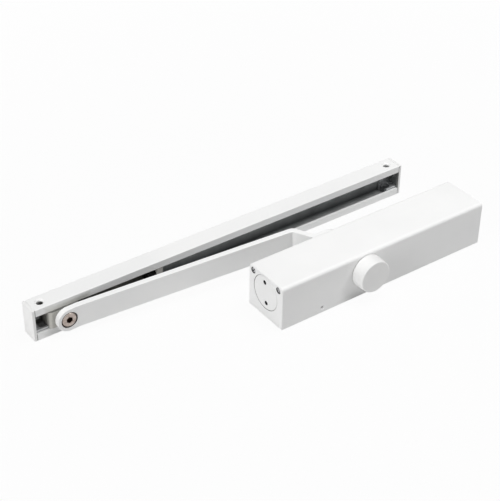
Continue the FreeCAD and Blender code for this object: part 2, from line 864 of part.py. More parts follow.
def make_rail():
    left, right = rail_left + end_cap_thickness, rail_right - end_cap_thickness
    shape = block(left, right, rail_front, rail_back, 0, rail_height)
    shape = shape.makeFillet(rail_edge_radius, edges_along(shape, X, lambda c: True))
    ends = [e for e in shape.Edges if near(e.BoundBox.XLength, 0)]
    shape = shape.makeChamfer(rail_end_chamfer, ends)
    cuts = [
        block(left, right, cavity_front, cavity_back, rail_wall, cavity_top),
        block(left, right, rail_front, cavity_front, slot_bottom, slot_top),
    ]
    for x in fixing_places():
        cuts.append(rod_z(access_hole_radius, cavity_top, rail_height, x, fixing_y))
        cuts.append(mouth(access_hole_radius, access_sink_depth, Vector(x, fixing_y, rail_height), -Z))
        cuts.append(rod_z(rail_hole_radius, 0, rail_wall, x, fixing_y))
    return shape.cut(cuts)


def make_left_end_cap():
    inner = rail_left + end_cap_thickness
    shape = block(rail_left, inner, rail_front, rail_back, 0, rail_height)
    shape = shape.makeFillet(end_cap_edge_radius, edges_along(shape, X, lambda c: True))
    ends = [e for e in shape.Edges if near(e.BoundBox.XLength, 0)]
    shape = shape.makeChamfer(rail_end_chamfer, ends)
    top = cavity_top - rail_fit
    tongue = block(inner, inner + end_cap_tongue_length, cavity_front + rail_fit, cavity_back - rail_fit,
                   top - end_cap_tongue_height, top)
    return shape.fuse(tongue).removeSplitter()


def make_left_bracket():
    left = rail_left + end_cap_thickness + rail_fit
    right = left + bracket_length
    front, back = cavity_front + rail_fit, cavity_back - rail_fit
    top = rail_wall + bracket_height
    upstand_top = rail_wall + bracket_upstand_height
    base = block(left, right, front, back, rail_wall, top)
    upstand = block(left, right, back - bracket_upstand_thickness, back, rail_wall, upstand_top)
    x = rail_left + rail_hole_inset
    sink = Part.makeCone(rail_hole_radius, bracket_sink_radius, bracket_sink_depth,
                         Vector(x, fixing_y, top - bracket_sink_depth), Z)
    hole = rod_z(rail_hole_radius, rail_wall, top, x, fixing_y)
    shape = base.fuse(upstand).removeSplitter()
    fronts = edges_along(shape, X, lambda c: near(c.z, upstand_top) or near(c.z, top) and near(c.y, front))
    return shape.makeChamfer(edge_break, fronts).cut([hole, sink])


def other_end(shape):
    return shape.mirror(Vector((rail_left + rail_right) / 2, 0, 0), X)


# Opening stop

def make_stop_block():
    left = rail_left + stop_left
    shape = rail_follower(left, left + stop_length, rail_front)
    middle = left + stop_length / 2
    radius = stop_screw_radius + stop_screw_clearance
    return shape.cut(rod_y(radius, rail_front, cavity_back, middle, rail_middle))


def make_stop_screw():
    middle = rail_left + stop_left + stop_length / 2
    shape = rod_y(stop_screw_radius, rail_front, cavity_back - slide_gap, middle, rail_middle)
    socket_end = rail_front + stop_screw_socket_depth
    return shape.cut(socket_y(stop_screw_socket, rail_front, socket_end, middle, rail_middle))


def make_stop_buffer():
    right = rail_left + stop_left
    left = right - buffer_length
    y = cavity_front + buffer_behind_lip
    shape = rod_x(buffer_radius, left, right, y, rail_middle)
    tip = [e for e in shape.Edges if near(e.BoundBox.XMax, left)]
    return shape.makeFillet(buffer_tip_radius, tip)


nodes = {
    "housing": make_housing(),
    "mounting_plate": make_mounting_plate(),
    "plate_locking_screws": make_locking_screws(),
    "valve_end_plug": plug_blank(),
    "valve_end_seal": plug_seal(),
    "spring_end_plug": make_spring_end_plug(),
    "spring_end_seal": mirrored(plug_seal(), X),
    "closing_valve": make_valve(-valve_y, closing_slot_turn),
    "closing_valve_seal": make_valve_seal(-valve_y),
    "latching_valve": make_valve(valve_y, latching_slot_turn),
    "latching_valve_seal": make_valve_seal(valve_y),
    "rear_bearing": make_rear_bearing(),
    "front_bearing": mirrored(make_rear_bearing(), Y),
    "rear_shaft_seal": make_rear_shaft_seal(),
    "front_shaft_seal": mirrored(make_rear_shaft_seal(), Y),
    "rear_bearing_nut": make_rear_nut(),
    "front_bearing_nut": mirrored(make_rear_nut(), Y),
    "shaft_cap": make_shaft_cap(),
    "spindle": make_spindle(),
    "piston": make_piston(),
    "check_ball": make_check_ball(),
    "check_retainer": make_check_retainer(),
    "closing_spring": make_closing_spring(),
    "spring_seat": make_spring_seat(),
    "spring_adjuster": make_spring_adjuster(),
    "arm": make_arm(),
    "arm_washer": make_arm_washer(),
    "arm_screw": make_arm_screw(),
    "pivot_screw": make_pivot_screw(),
    "pivot_bush": make_pivot_bush(),
    "pivot_spacer": make_pivot_spacer(),
    "slider": make_slider(),
    "rail": make_rail(),
    "rail_end_cap_left": make_left_end_cap(),
    "rail_end_cap_right": other_end(make_left_end_cap()),
    "rail_bracket_left": make_left_bracket(),
    "rail_bracket_right": other_end(make_left_bracket()),
    "stop_block": make_stop_block(),
    "stop_buffer": make_stop_buffer(),
    "stop_clamp_screw": make_stop_screw(),
}

os.makedirs("parts", exist_ok=True)
for name, shape in nodes.items():
    shape.exportStep("parts/" + name + ".step")
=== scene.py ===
"""Finishes, fine pieces, light and camera of a slide rail door closer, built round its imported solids.

All sizes are in metres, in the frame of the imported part. All tones are linear colours.
"""

import logging
import math
from dataclasses import dataclass, replace
from enum import Enum
from functools import cache

import bpy
from mathutils import Matrix, Vector


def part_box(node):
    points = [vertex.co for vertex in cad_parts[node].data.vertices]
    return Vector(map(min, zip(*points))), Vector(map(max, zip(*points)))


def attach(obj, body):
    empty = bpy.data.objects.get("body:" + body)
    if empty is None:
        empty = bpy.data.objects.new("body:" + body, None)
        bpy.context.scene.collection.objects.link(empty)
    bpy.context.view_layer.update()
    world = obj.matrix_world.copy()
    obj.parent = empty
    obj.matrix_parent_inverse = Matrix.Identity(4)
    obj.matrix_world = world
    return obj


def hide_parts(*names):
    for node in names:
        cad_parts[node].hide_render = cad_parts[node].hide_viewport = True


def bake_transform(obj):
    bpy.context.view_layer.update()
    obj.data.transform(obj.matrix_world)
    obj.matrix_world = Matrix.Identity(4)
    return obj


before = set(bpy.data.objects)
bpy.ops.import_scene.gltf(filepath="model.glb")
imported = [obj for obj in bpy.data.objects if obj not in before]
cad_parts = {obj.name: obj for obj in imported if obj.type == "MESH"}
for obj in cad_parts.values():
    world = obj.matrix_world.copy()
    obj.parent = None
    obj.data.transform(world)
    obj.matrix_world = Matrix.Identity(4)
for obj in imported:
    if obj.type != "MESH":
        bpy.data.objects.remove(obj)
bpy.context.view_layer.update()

LOG = logging.getLogger("door_closer")
IMAGE_HEIGHT = 501
SENSOR = 36.0

Triple = tuple[float, float, float]
Socket = bpy.types.NodeSocket
Value = float | int | bool | tuple[float, ...] | Socket | bpy.types.Material
Inputs = dict[str | int, Value]
Range = tuple[Value, Value]

UNIT: Range = (0.0, 1.0)

# Noise of the shared effects: pitch against the main scale, detail, the cut that is spread to 0 to 1, share.
FINE_DETAIL, FINE_SHARE = 3.0, 0.6
COARSE_PITCH, COARSE_DETAIL, COARSE_SHARE = 0.31, 1.0, 0.4
TONE_DETAIL, TONE_CUT = 4.0, (0.3, 0.7)
STREAK_PITCH, STREAK_DETAIL, STREAK_CUT = 3.7, 3.0, (0.32, 0.68)
FILM_DETAIL, FILM_CUT, FILM_SHARE = 2.0, (0.52, 0.72), 0.6
SPECKLE_PITCH, SPECKLE_DETAIL, SPECKLE_CUT = 23.0, 2.0, (0.66, 0.72)


class Axis(Enum):
    """Directions along the part's own frame."""

    X = (1.0, 0.0, 0.0)
    Y = (0.0, 1.0, 0.0)
    BACK_X = (-1.0, 0.0, 0.0)
    DOWN = (0.0, 0.0, -1.0)


class Effect(Enum):
    """Shader node groups that several finishes share."""

    GRAIN = "fine_grain"
    SMUDGE = "handling_smudge"
    BOX = "box_region"
    ROUND = "round_region"


class Mix(Enum):
    """What a Mix node mixes, with the numbers of its two inputs and of its output."""

    FLOAT = (2, 3, 0)
    RGBA = (6, 7, 2)


def colour(red: float, green: float, blue: float) -> tuple[float, float, float, float]:
    """Returns an opaque linear colour."""
    return (red, green, blue, 1.0)


class NodeSheet:
    """A node tree with short ways to add nodes and join them."""

    def __init__(self, tree: bpy.types.NodeTree) -> None:
        """Starts on the shader or geometry tree that takes the nodes."""
        self.tree = tree

    def feed(self, socket: Socket, value: Value) -> None:
        """Sets a socket, or joins another socket to it.

        Args:
            socket: The input that is fed.
            value: A plain value, or the output that drives the input.
        """
        if isinstance(value, bpy.types.NodeSocket):
            self.tree.links.new(value, socket)
        else:
            socket.default_value = value

    def add(self, kind: str, inputs: Inputs | None = None, **settings: object) -> bpy.types.Node:
        """Adds one node.

        Args:
            kind: Blender's name of the node type.
            inputs: Values or sockets by input name or number.
            settings: The node's own properties.

        Returns:
            The new node.
        """
        node = self.tree.nodes.new(kind)
        for name, value in settings.items():
            setattr(node, name, value)
        for key, value in (inputs or {}).items():
            self.feed(node.inputs[key], value)
        return node

    def math(self, operation: str, first: Value, second: Value = 0.0) -> Socket:
        """Adds a Math node and returns its result."""
        return self.add("ShaderNodeMath", {0: first, 1: second}, operation=operation).outputs[0]

    def vector(self, operation: str, first: Value, second: Value = (0.0, 0.0, 0.0)) -> Socket:
        """Adds a Vector Math node and returns its vector, or its value for a length or a dot product."""
        node = self.add("ShaderNodeVectorMath", {0: first, 1: second}, operation=operation)
        return node.outputs[1 if operation in ("LENGTH", "DOT_PRODUCT") else 0]

    def spread(self, value: Value, source: Range, target: Range = UNIT) -> Socket:
        """Maps a value from one range to another, clamped.

        Args:
            value: The value that is mapped.
            source: The range it comes from.
            target: The range it goes to.

        Returns:
            The mapped value.
        """
        ends = {"Value": value, "From Min": source[0], "From Max": source[1]}
        ends |= {"To Min": target[0], "To Max": target[1]}
        return self.add("ShaderNodeMapRange", ends).outputs[0]

    def mix(self, kind: Mix, factor: Value, first: Value, second: Value) -> Socket:
        """Mixes two numbers or colours.

        Args:
            kind: Which of the two is mixed.
            factor: The second one's share.
            first: The first number or colour.
            second: The second number or colour.

        Returns:
            The mixed number or colour.
        """
        start, end, result = kind.value
        inputs = {0: factor, start: first, end: second}
        return self.add("ShaderNodeMix", inputs, data_type=kind.name).outputs[result]

    def noise(self, place: Socket, scale: Value, detail: float) -> Socket:
        """Adds a noise of so many waves per metre, with finer layers as its detail, and returns its value."""
        inputs = {"Vector": place, "Scale": scale, "Detail": detail}
        return self.add("ShaderNodeTexNoise", inputs).outputs[0]

    def effect(self, effect: Effect, inputs: Inputs) -> bpy.types.NodeOutputs:
        """Places a shared node group and returns its outputs."""
        return self.add("ShaderNodeGroup", inputs, node_tree=bpy.data.node_groups[effect.value]).outputs


def empty_sheet(owner: bpy.types.Material | bpy.types.World) -> NodeSheet:
    """Clears the nodes of a material or a world.

    Args:
        owner: The material or the world.

    Returns:
        The sheet that takes its new nodes.
    """
    owner.use_nodes = True
    owner.node_tree.nodes.clear()
    return NodeSheet(owner.node_tree)


def add_object(name: str, data: bpy.types.ID) -> bpy.types.Object:
    """Adds an object to the scene.

    Args:
        name: The object's name.
        data: Its mesh, lamp or camera data.

    Returns:
        The object.
    """
    made = bpy.data.objects.new(name, data)
    bpy.context.scene.collection.objects.link(made)
    return made


class EffectGroup:
    """A shader node group with named inputs and outputs."""

    def __init__(self, effect: Effect, inputs: dict[str, str], outputs: tuple[str, ...] = ("Mask",)) -> None:
        """Makes the empty group.

        Args:
            effect: The group's name.
            inputs: Socket kinds, Float or Vector, by input name.
            outputs: The names of its float outputs.
        """
        tree = bpy.data.node_groups.new(effect.value, "ShaderNodeTree")
        for name, kind in inputs.items():
            tree.interface.new_socket(name=name, in_out="INPUT", socket_type="NodeSocket" + kind)
        for name in outputs:
            tree.interface.new_socket(name=name, in_out="OUTPUT", socket_type="NodeSocketFloat")
        self.sheet = NodeSheet(tree)
        self.source = tree.nodes.new("NodeGroupInput").outputs
        self.result = tree.nodes.new("NodeGroupOutput").inputs

    def give(self, name: str, value: Socket) -> None:
        """Joins a socket to a named output."""
        self.sheet.feed(self.result[name], value)


def make_grain() -> None:
    """Builds the group that gives a surface its fine relief, slow change of tone and change of shine."""
    group = EffectGroup(
        Effect.GRAIN,
        {"Place": "Vector", "Stretch": "Vector", "Grain scale": "Float", "Tone scale": "Float"},
        ("Height", "Tone", "Shine"),
    )
    sheet, source = group.sheet, group.source
    place = sheet.vector("MULTIPLY", source["Place"], source["Stretch"])
    coarse_scale = sheet.math("MULTIPLY", source["Grain scale"], COARSE_PITCH)
    streak_scale = sheet.math("MULTIPLY", source["Tone scale"], STREAK_PITCH)
    fine = sheet.noise(place, source["Grain scale"], FINE_DETAIL)
    coarse = sheet.noise(place, coarse_scale, COARSE_DETAIL)
    slow = sheet.noise(source["Place"], source["Tone scale"], TONE_DETAIL)
    streak = sheet.noise(place, streak_scale, STREAK_DETAIL)
    fine_part = sheet.math("MULTIPLY", fine, FINE_SHARE)
    coarse_part = sheet.math("MULTIPLY", coarse, COARSE_SHARE)
    group.give("Height", sheet.math("ADD", fine_part, coarse_part))
    group.give("Tone", sheet.spread(slow, TONE_CUT))
    group.give("Shine", sheet.spread(streak, STREAK_CUT))


def make_smudge() -> None:
    """Builds the group that marks where hands and dust have left a faint film."""
    group = EffectGroup(Effect.SMUDGE, {"Place": "Vector", "Scale": "Float", "Amount": "Float"})
    sheet, source = group.sheet, group.source
    patch = sheet.noise(source["Place"], source["Scale"], FILM_DETAIL)
    speckle_scale = sheet.math("MULTIPLY", source["Scale"], SPECKLE_PITCH)
    speckle = sheet.noise(source["Place"], speckle_scale, SPECKLE_DETAIL)
    film = sheet.math("MULTIPLY", sheet.spread(patch, FILM_CUT), FILM_SHARE)
    both = sheet.math("MAXIMUM", film, sheet.spread(speckle, SPECKLE_CUT))
    group.give("Mask", sheet.math("MULTIPLY", both, source["Amount"]))


def make_box_region() -> None:
    """Builds the group that is 1 inside a box and fades to 0 over a soft edge."""
    kinds = {"Place": "Vector", "Low": "Vector", "High": "Vector", "Softness": "Float"}
    group = EffectGroup(Effect.BOX, kinds)
    sheet, source = group.sheet, group.source
    over = sheet.vector("SUBTRACT", source["Place"], source["Low"])
    under = sheet.vector("SUBTRACT", source["High"], source["Place"])
    nearest = sheet.vector("MINIMUM", over, under)
    parts = sheet.add("ShaderNodeSeparateXYZ", {"Vector": nearest}).outputs
    least = sheet.math("MINIMUM", sheet.math("MINIMUM", parts["X"], parts["Y"]), parts["Z"])
    group.give("Mask", sheet.spread(least, (0.0, source["Softness"])))


def make_round_region() -> None:
    """Builds the group that is 1 inside a round bore, between two depths along its axis."""
    kinds = {"Place": "Vector", "Centre": "Vector", "Axis": "Vector", "Radius": "Float"}
    kinds |= {"Start": "Float", "End": "Float", "Softness": "Float"}
    group = EffectGroup(Effect.ROUND, kinds)
    sheet, source = group.sheet, group.source
    away = sheet.vector("SUBTRACT", source["Place"], source["Centre"])
    depth = sheet.vector("DOT_PRODUCT", away, source["Axis"])
    scaled = {0: source["Axis"], "Scale": depth}
    along = sheet.add("ShaderNodeVectorMath", scaled, operation="SCALE").outputs[0]
    radial = sheet.vector("LENGTH", sheet.vector("SUBTRACT", away, along))
    inside = sheet.math("SUBTRACT", source["Radius"], radial)
    past = sheet.math("SUBTRACT", depth, source["Start"])
    left = sheet.math("SUBTRACT", source["End"], depth)
    deeper = sheet.math("MINIMUM", past, left)
    wide = sheet.spread(inside, (0.0, source["Softness"]))
    deep = sheet.spread(deeper, (0.0, source["Softness"]))
    group.give("Mask", sheet.math("MULTIPLY", wide, deep))


@dataclass(frozen=True)
class Bore:
    """A round hole whose wall and floor differ from the face round it."""

    centre: Triple
    axis: Axis
    radius: float
    start: float = 0.0002
    end: float = 0.02
    softness: float = 0.0001

    def mask(self, sheet: NodeSheet, place: Socket) -> Socket:
        """Adds the mask of the bore.

        Args:
            sheet: The material's sheet.
            place: Its object coordinates.

        Returns:
            The mask.
        """
        inputs = {"Place": place, "Centre": self.centre, "Axis": self.axis.value, "Radius": self.radius}
        inputs |= {"Start": self.start, "End": self.end, "Softness": self.softness}
        return sheet.effect(Effect.ROUND, inputs)["Mask"]


@dataclass(frozen=True)
class Box:
    """A block of space in which a surface differs from the rest."""

    low: Triple
    high: Triple
    softness: float = 0.0001

    def mask(self, sheet: NodeSheet, place: Socket) -> Socket:
        """Adds the mask of the block, on a material's object coordinates, and returns it."""
        inputs = {"Place": place, "Low": self.low, "High": self.high, "Softness": self.softness}
        return sheet.effect(Effect.BOX, inputs)["Mask"]


Region = Bore | Box


@dataclass(frozen=True)
class Stain:
    """The tone and shine of a place that differs from the surface round it."""

    tone: Triple
    roughness: float = 0.6
    metallic: float = 0.0
    worn_share: float = 0.7

    def worn_tone(self) -> tuple[float, ...]:
        """Returns the darker of the stain's two tones."""
        return tuple(self.worn_share * part for part in self.tone)


@dataclass(frozen=True)
class Patch:
    """Places on a surface that share a stain, such as dusty seams, or painted shade in bores and recesses."""

    stain: Stain
    regions: tuple[Region, ...]

    def mask(self, sheet: NodeSheet, place: Socket) -> Socket:
        """Adds the mask that is 1 in any of the regions.

        Args:
            sheet: The material's sheet.
            place: Its object coordinates.

        Returns:
            The mask.
        """
        mask = self.regions[0].mask(sheet, place)
        for region in self.regions[1:]:
            mask = sheet.math("MAXIMUM", mask, region.mask(sheet, place))
        return mask


@dataclass(frozen=True)
class Finish:
    """How a surface looks: its two tones, its shine, its grain, a faint film and its patches."""

    name: str
    light: Triple
    dark: Triple
    roughness: tuple[float, float]
    metallic: float = 0.0
    gloss: float = 0.5
    stretch: Triple = (1.0, 1.0, 1.0)
    grain_scale: float = 2400.0
    tone_scale: float = 38.0
    relief: float = 0.00003
    relief_strength: float = 0.3
    film: float = 0.08
    film_scale: float = 60.0
    film_tone: Triple = (0.45, 0.44, 0.42)
    patches: tuple[Patch, ...] = ()

    def make(self) -> bpy.types.Material:
        """Wires the finish.

        Returns:
            The material.
        """
        material = bpy.data.materials.new(self.name)
        sheet = empty_sheet(material)
        place = sheet.add("ShaderNodeTexCoord").outputs["Object"]
        inputs = {"Place": place, "Stretch": self.stretch}
        inputs |= {"Grain scale": self.grain_scale, "Tone scale": self.tone_scale}
        grain = sheet.effect(Effect.GRAIN, inputs)
        inputs = {"Place": place, "Scale": self.film_scale, "Amount": self.film}
        film = sheet.effect(Effect.SMUDGE, inputs)["Mask"]
        tone = sheet.mix(Mix.RGBA, grain["Tone"], colour(*self.light), colour(*self.dark))
        tone = sheet.mix(Mix.RGBA, film, tone, colour(*self.film_tone))
        shine = sheet.spread(grain["Shine"], UNIT, self.roughness)
        metal: Value = self.metallic
        metal_varies = any(patch.stain.metallic != self.metallic for patch in self.patches)
        for patch in self.patches:
            stain, mask = patch.stain, patch.mask(sheet, place)
            worn = sheet.mix(Mix.RGBA, grain["Shine"], colour(*stain.tone), colour(*stain.worn_tone()))
            tone = sheet.mix(Mix.RGBA, mask, tone, worn)
            shine = sheet.mix(Mix.FLOAT, mask, shine, stain.roughness)
            if metal_varies:
                metal = sheet.mix(Mix.FLOAT, mask, metal, stain.metallic)
        relief = {"Height": grain["Height"], "Distance": self.relief, "Strength": self.relief_strength}
        normal = sheet.add("ShaderNodeBump", relief).outputs[0]
        surface = {"Base Color": tone, "Roughness": shine, "Metallic": metal, "Normal": normal}
        surface["Specular IOR Level"] = self.gloss
        shader = sheet.add("ShaderNodeBsdfPrincipled", surface)
        sheet.add("ShaderNodeOutputMaterial", {"Surface": shader.outputs[0]})
        return material


POWDER_COAT = Finish(
    "white_powder_coat", light=(0.87, 0.87, 0.866), dark=(0.83, 0.832, 0.83), roughness=(0.45, 0.55),
    grain_scale=1500.0, tone_scale=14.0, relief=0.00004, relief_strength=0.22, film=0.05, film_scale=21.0,
    film_tone=(0.55, 0.54, 0.52),
)
WHITE_PLASTIC = Finish(
    "moulded_white_plastic", light=(0.85, 0.848, 0.842), dark=(0.81, 0.81, 0.805), roughness=(0.38, 0.5),
)
GREY_PLASTIC = Finish(
    "greased_grey_plastic", light=(0.56, 0.55, 0.51), dark=(0.49, 0.48, 0.445), roughness=(0.42, 0.58),
)
STOP_PLASTIC = replace(
    GREY_PLASTIC, name="worn_grey_plastic", light=(0.40, 0.39, 0.365), dark=(0.34, 0.33, 0.31),
)
BLACK_RUBBER = Finish(
    "black_rubber", light=(0.018, 0.018, 0.019), dark=(0.03, 0.03, 0.031), roughness=(0.55, 0.75),
    grain_scale=1800.0, relief=0.00005,
)
BUFFER_RUBBER = replace(
    BLACK_RUBBER, name="matt_buffer_rubber", light=(0.003, 0.003, 0.003), dark=(0.006, 0.006, 0.006),
    gloss=0.1, film=0.0,
)
ZINC = Finish(
    "zinc_plated_steel", light=(0.60, 0.62, 0.64), dark=(0.46, 0.48, 0.50), roughness=(0.3, 0.45),
    metallic=1.0, grain_scale=2200.0, tone_scale=70.0, relief=0.00002, film=0.25, film_scale=90.0,
    film_tone=(0.36, 0.36, 0.35),
)
SCREW_STEEL = replace(
    ZINC, name="plated_screw_steel", light=(0.52, 0.46, 0.42), dark=(0.34, 0.28, 0.25), gloss=0.05,
    tone_scale=350.0, relief=0.00001, film=0.7, film_scale=380.0, film_tone=(0.13, 0.08, 0.055),
)
BRACKET_STEEL = replace(
    ZINC, name="bracket_steel", light=(0.45, 0.46, 0.47), dark=(0.28, 0.29, 0.30), roughness=(0.46, 0.6),
    metallic=0.65,
)
# Painted light: a lighter, less metallic copy of the bracket steel for the left bracket, which lies in more
# light than the right one.
BRACKET_STEEL_PAINTED_LIGHT = replace(
    BRACKET_STEEL, name="worn_bracket_steel", light=(0.62, 0.63, 0.64), dark=(0.5, 0.51, 0.52), metallic=0.3,
)
HARD_STEEL = replace(
    ZINC, name="ground_hard_steel", light=(0.56, 0.56, 0.57), dark=(0.47, 0.47, 0.48), roughness=(0.2, 0.34),
    stretch=(1.0, 9.0, 1.0),
)
TURNED_STEEL = replace(
    ZINC, name="turned_steel", light=(0.52, 0.51, 0.50), dark=(0.44, 0.43, 0.42), stretch=(9.0, 1.0, 1.0),
)
VALVE_STEEL = replace(
    ZINC, name="valve_steel", light=(0.64, 0.64, 0.65), dark=(0.44, 0.44, 0.45), gloss=0.05, tone_scale=300.0,
)
SPRING_STEEL = replace(
    ZINC, name="oiled_spring_steel", light=(0.20, 0.19, 0.18), dark=(0.13, 0.125, 0.12),
)
BRONZE = replace(
    ZINC, name="bearing_bronze", light=(0.66, 0.45, 0.24), dark=(0.55, 0.36, 0.18), stretch=(1.0, 7.0, 1.0),
)
# Painted shade: a dark copy of the bronze for the pivot bush, which darkens the recess round the pivot
# screw's head.
BRONZE_PAINTED_SHADE = replace(BRONZE, name="oiled_bronze", light=(0.10, 0.075, 0.05), dark=(0.06, 0.045, 0.03))

SEAM_DUST = Stain((0.16, 0.16, 0.155))
# Painted shade: near-black laid in recesses, valve mouths and driver slots, where shade falls.
PAINTED_RECESS_SHADE = Stain((0.018, 0.018, 0.018))
HOLE_SHADE = Stain((0.10, 0.105, 0.11), roughness=0.5, metallic=0.3)
SINK_SHADE = replace(HOLE_SHADE, roughness=0.6)
# Painted shade in the hex socket of the pivot screw.
PAINTED_SOCKET_SHADE = Stain((0.016, 0.008, 0.005), roughness=0.8)
BARE_METAL = Stain((0.45, 0.47, 0.475), roughness=0.42, metallic=0.35)
# Painted shadow of the arm on the rail's inside, left of the stop.
PAINTED_TRACK_SHADOW = Stain((0.16, 0.155, 0.14), roughness=0.4)
# Painted shade on the rail's upper lip above the slider.
PAINTED_LIP_SHADE = Stain((0.72, 0.72, 0.685), roughness=0.5)
EDGE_GREASE = Stain((0.20, 0.20, 0.185), roughness=0.5)
# Painted shade, near-black, in the rail's left end and on the left bracket's rear half.
PAINTED_DEEP_SHADE = Stain((0.03, 0.03, 0.028))
# Painted shade in the rail's rear corner beyond the stop.
PAINTED_CORNER_SHADE = Stain((0.06, 0.063, 0.065))
# Painted light on the rail's floor beyond the stop, fading out towards the back wall.
PAINTED_FLOOR_LIGHT = Stain((0.74, 0.75, 0.75), roughness=0.7)
OVERSPRAY = Stain(POWDER_COAT.light)
CAP_SHADE = Stain((0.09, 0.095, 0.095))


@cache
def material_of(finish: Finish) -> bpy.types.Material:
    """Returns a finish's material, made the first time that it is asked for."""
    return finish.make()


def dress(finish: Finish, *nodes: str) -> None:
    """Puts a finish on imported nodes.

    Args:
        finish: The finish.
        nodes: The nodes' names.
    """
    for node in nodes:
        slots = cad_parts[node].data.materials
        slots.clear()
        slots.append(material_of(finish))
        LOG.info("%s: %s", node, finish.name)


class GeometryRule:
    """A Geometry Nodes tree with named inputs, run once and kept as a plain mesh."""

    def __init__(self, name: str) -> None:
        """Makes the empty tree.

        Args:
            name: The name of the tree and of the piece it makes.
        """
        self.name = name
        self.tree = bpy.data.node_groups.new(name, "GeometryNodeTree")
        self.sheet = NodeSheet(self.tree)
        self.source = self.tree.nodes.new("NodeGroupInput")
        self.values: dict[str, Value] = {}

    def size(self, name: str, value: float | int) -> Socket:
        """Adds a named size.

        Args:
            name: The input's name.
            value: The size that the modifier gets.

        Returns:
            The socket that brings the size into the tree.
        """
        kind = "NodeSocketInt" if isinstance(value, int) else "NodeSocketFloat"
        item = self.tree.interface.new_socket(name=name, in_out="INPUT", socket_type=kind)
        self.values[item.identifier] = value
        return self.source.outputs[name]

    def close(self, shape: Socket, material: bpy.types.Material) -> None:
        """Ends the tree in real geometry with its finish.

        Args:
            shape: The geometry that the tree ends in.
            material: The finish of the piece.
        """
        self.tree.interface.new_socket(name="Geometry", in_out="OUTPUT", socket_type="NodeSocketGeometry")
        whole = self.sheet.add("GeometryNodeRealizeInstances", {"Geometry": shape}).outputs[0]
        dressing = {"Geometry": whole, "Material": material}
        dressed = self.sheet.add("GeometryNodeSetMaterial", dressing).outputs[0]
        self.sheet.add("NodeGroupOutput", {"Geometry": dressed})

    def run(self, shape: Socket, material: bpy.types.Material) -> bpy.types.Object:
        """Closes the tree and turns its result into a piece.

        Args:
            shape: The geometry that the tree ends in.
            material: The finish of the piece.

        Returns:
            The piece, an object with a plain mesh.
        """
        self.close(shape, material)
        piece = add_object(self.name, bpy.data.meshes.new(self.name + "_seed"))
        modifier = piece.modifiers.new(self.name, "NODES")
        modifier.node_group = self.tree
        for identifier, value in self.values.items():
            modifier[identifier] = value
        bpy.context.view_layer.update()
        shown = piece.evaluated_get(bpy.context.evaluated_depsgraph_get())
        mesh = bpy.data.meshes.new_from_object(shown)
        mesh.name = self.name
        piece.modifiers.clear()
        piece.data = mesh
        LOG.info("%s: %d faces", self.name, len(mesh.polygons))
        return piece


@dataclass
class CloserBody:
    """The coated body with its plate, plugs, valves, bearings and cap."""

    bore_height: float = 0.028
    spanner_hole: float = 0.0024
    spanner_spacing: float = 0.0225
    spanner_turn: float = math.radians(7.0)
    valve_side: float = 0.0195
    valve_height: float = 0.0425
    valve_mouth: float = 0.00342
    slot_start: float = 0.00032
    plug_mouth: float = 0.01842
    mouth_start: float = 0.00004
    cap_seam: float = 0.00045

    def ends(self) -> tuple[tuple[float, Axis], ...]:
        """Returns where the body's two end faces lie, with the way into them."""
        low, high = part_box("housing")
        return (low.x, Axis.X), (high.x, Axis.BACK_X)

    def plug_mouths(self) -> tuple[Bore, ...]:
        """Returns the seams round both plugs."""
        start, height = self.mouth_start, self.bore_height
        return tuple(Bore((x, 0.0, height), axis, self.plug_mouth, start) for x, axis in self.ends())

    def spanner_holes(self) -> tuple[Bore, ...]:
        """Finds the pin holes of both plugs.

        Returns:
            The four holes.
        """
        holes = []
        for half in (-self.spanner_spacing / 2, self.spanner_spacing / 2):
            y = half * math.sin(self.spanner_turn)
            z = self.bore_height + half * math.cos(self.spanner_turn)
            holes += [Bore((x, y, z), axis, self.spanner_hole) for x, axis in self.ends()]
        return tuple(holes)

    def valve_mouths(self) -> tuple[Bore, ...]:
        """Finds the mouths of the valves' holes.

        Returns:
            The two mouths.
        """
        x, axis = self.ends()[0]
        places = ((x, y, self.valve_height) for y in (-self.valve_side, self.valve_side))
        return tuple(Bore(place, axis, self.valve_mouth, self.mouth_start) for place in places)

    def valve_slots(self) -> tuple[Bore, ...]:
        """Finds the driver slots of the valves, below the chamfer of their heads.

        Returns:
            The two slots.
        """
        slots = []
        for node in ("closing_valve", "latching_valve"):
            low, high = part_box(node)
            middle = (low.x, (low.y + high.y) / 2, (low.z + high.z) / 2)
            slots.append(Bore(middle, Axis.X, self.valve_mouth, self.slot_start))
        return tuple(slots)

    def cap_rim(self) -> Box:
        """Returns the seam where the cap meets the body."""
        low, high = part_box("shaft_cap")
        return Box((low.x, high.y - self.cap_seam, low.z), (high.x, high.y + self.cap_seam, high.z))

    def build(self) -> None:
        """Dresses the body's nodes."""
        seams = Patch(SEAM_DUST, self.plug_mouths())
        # Painted shade: near-black in the mouths round the valve heads.
        mouths = Patch(PAINTED_RECESS_SHADE, self.valve_mouths())
        holes = Patch(HOLE_SHADE, self.spanner_holes())
        # Painted shade: near-black in the valves' driver slots.
        slots = Patch(PAINTED_RECESS_SHADE, self.valve_slots())
        rim = Patch(SEAM_DUST, (self.cap_rim(),))
        dress(replace(POWDER_COAT, name="powder_coat_body", patches=(seams, mouths)), "housing")
        plug_coat = replace(POWDER_COAT, name="powder_coat_plugs", patches=(holes,))
        dress(plug_coat, "valve_end_plug", "spring_end_plug")
        dress(replace(VALVE_STEEL, patches=(slots,)), "closing_valve", "latching_valve")
        dress(ZINC, "mounting_plate", "rear_bearing_nut", "front_bearing_nut")
        dress(POWDER_COAT, "plate_locking_screws")
        dress(BRONZE, "rear_bearing", "front_bearing")
        dress(replace(WHITE_PLASTIC, name="cap_plastic", patches=(rim,)), "shaft_cap")
        dress(BLACK_RUBBER, "rear_shaft_seal", "front_shaft_seal", "valve_end_seal", "spring_end_seal",
              "closing_valve_seal", "latching_valve_seal")


